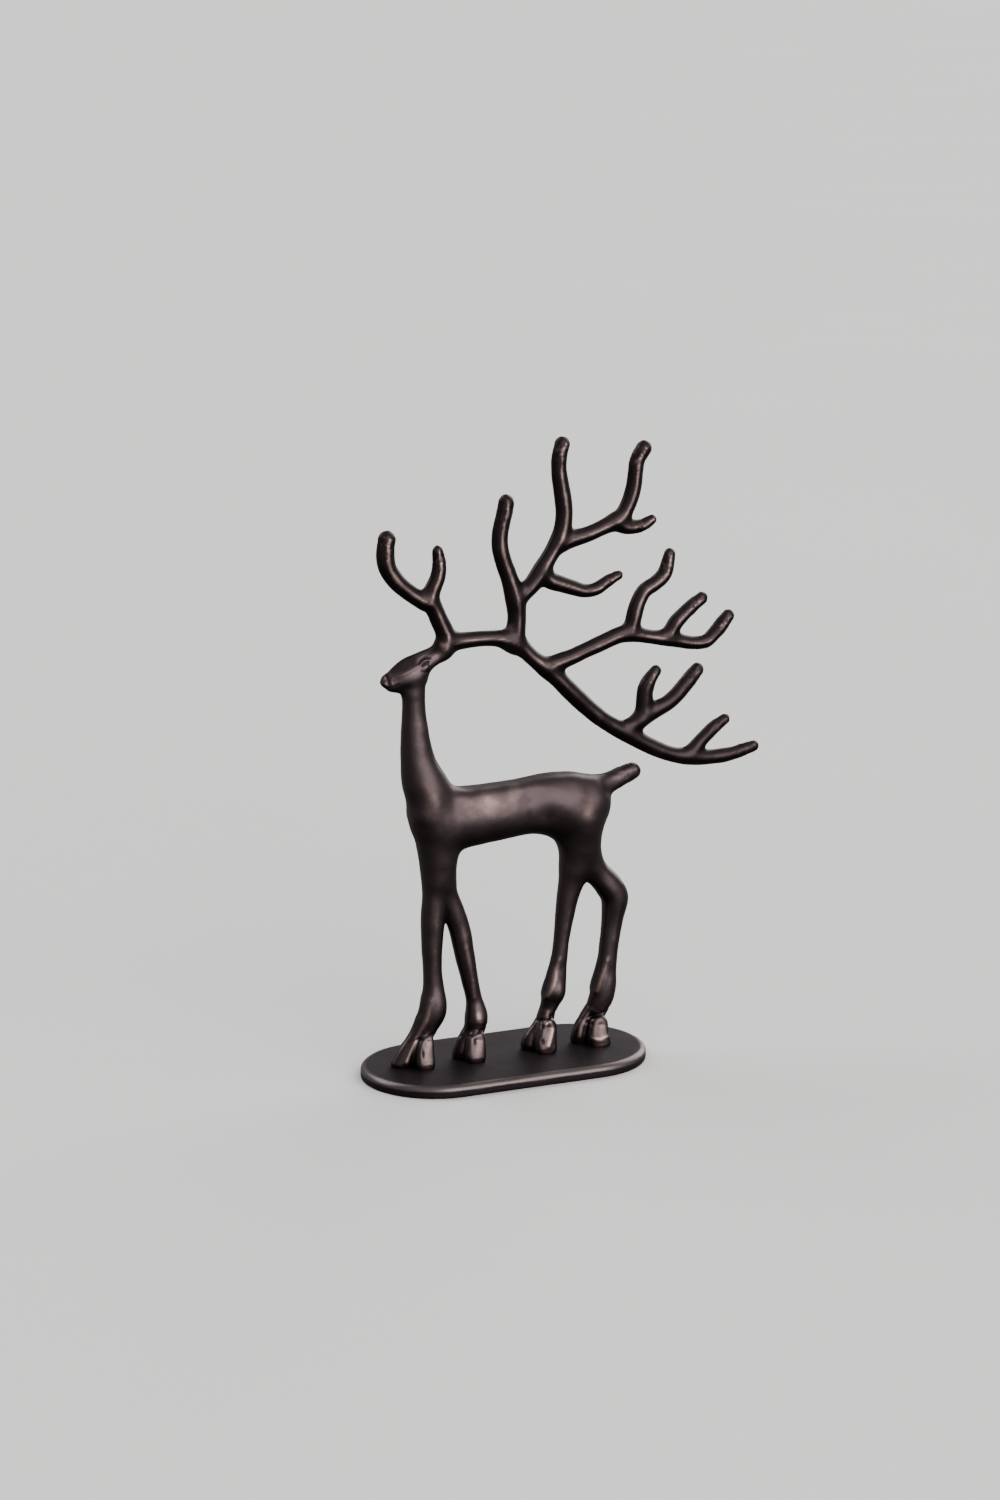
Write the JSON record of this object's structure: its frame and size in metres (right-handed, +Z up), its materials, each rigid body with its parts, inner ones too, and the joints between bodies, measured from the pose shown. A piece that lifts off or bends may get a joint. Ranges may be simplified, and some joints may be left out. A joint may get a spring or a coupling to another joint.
{
  "type": "reindeer figurine",
  "caption": "Slender standing reindeer with wide branching antlers swept over its back, cast in dark metal on a flat oval plate with half-round ends.",
  "frame": {"origin": "centre of the oval plate's underside", "axes": "+Z up, X along the plate's long axis with the head towards -X and the tail towards +X, +Y towards the figure's right flank"},
  "size_m": [0.2039, 0.071, 0.3002],
  "materials": {
    "dark_cast_metal": "satin, blackened bronze tone",
    "black_plate_metal": "matte black, rubbed at the rim"
  },
  "bodies": {
    "root": {"reindeer": "dark_cast_metal", "oval_plate": "black_plate_metal"}
  },
  "joints": []
}
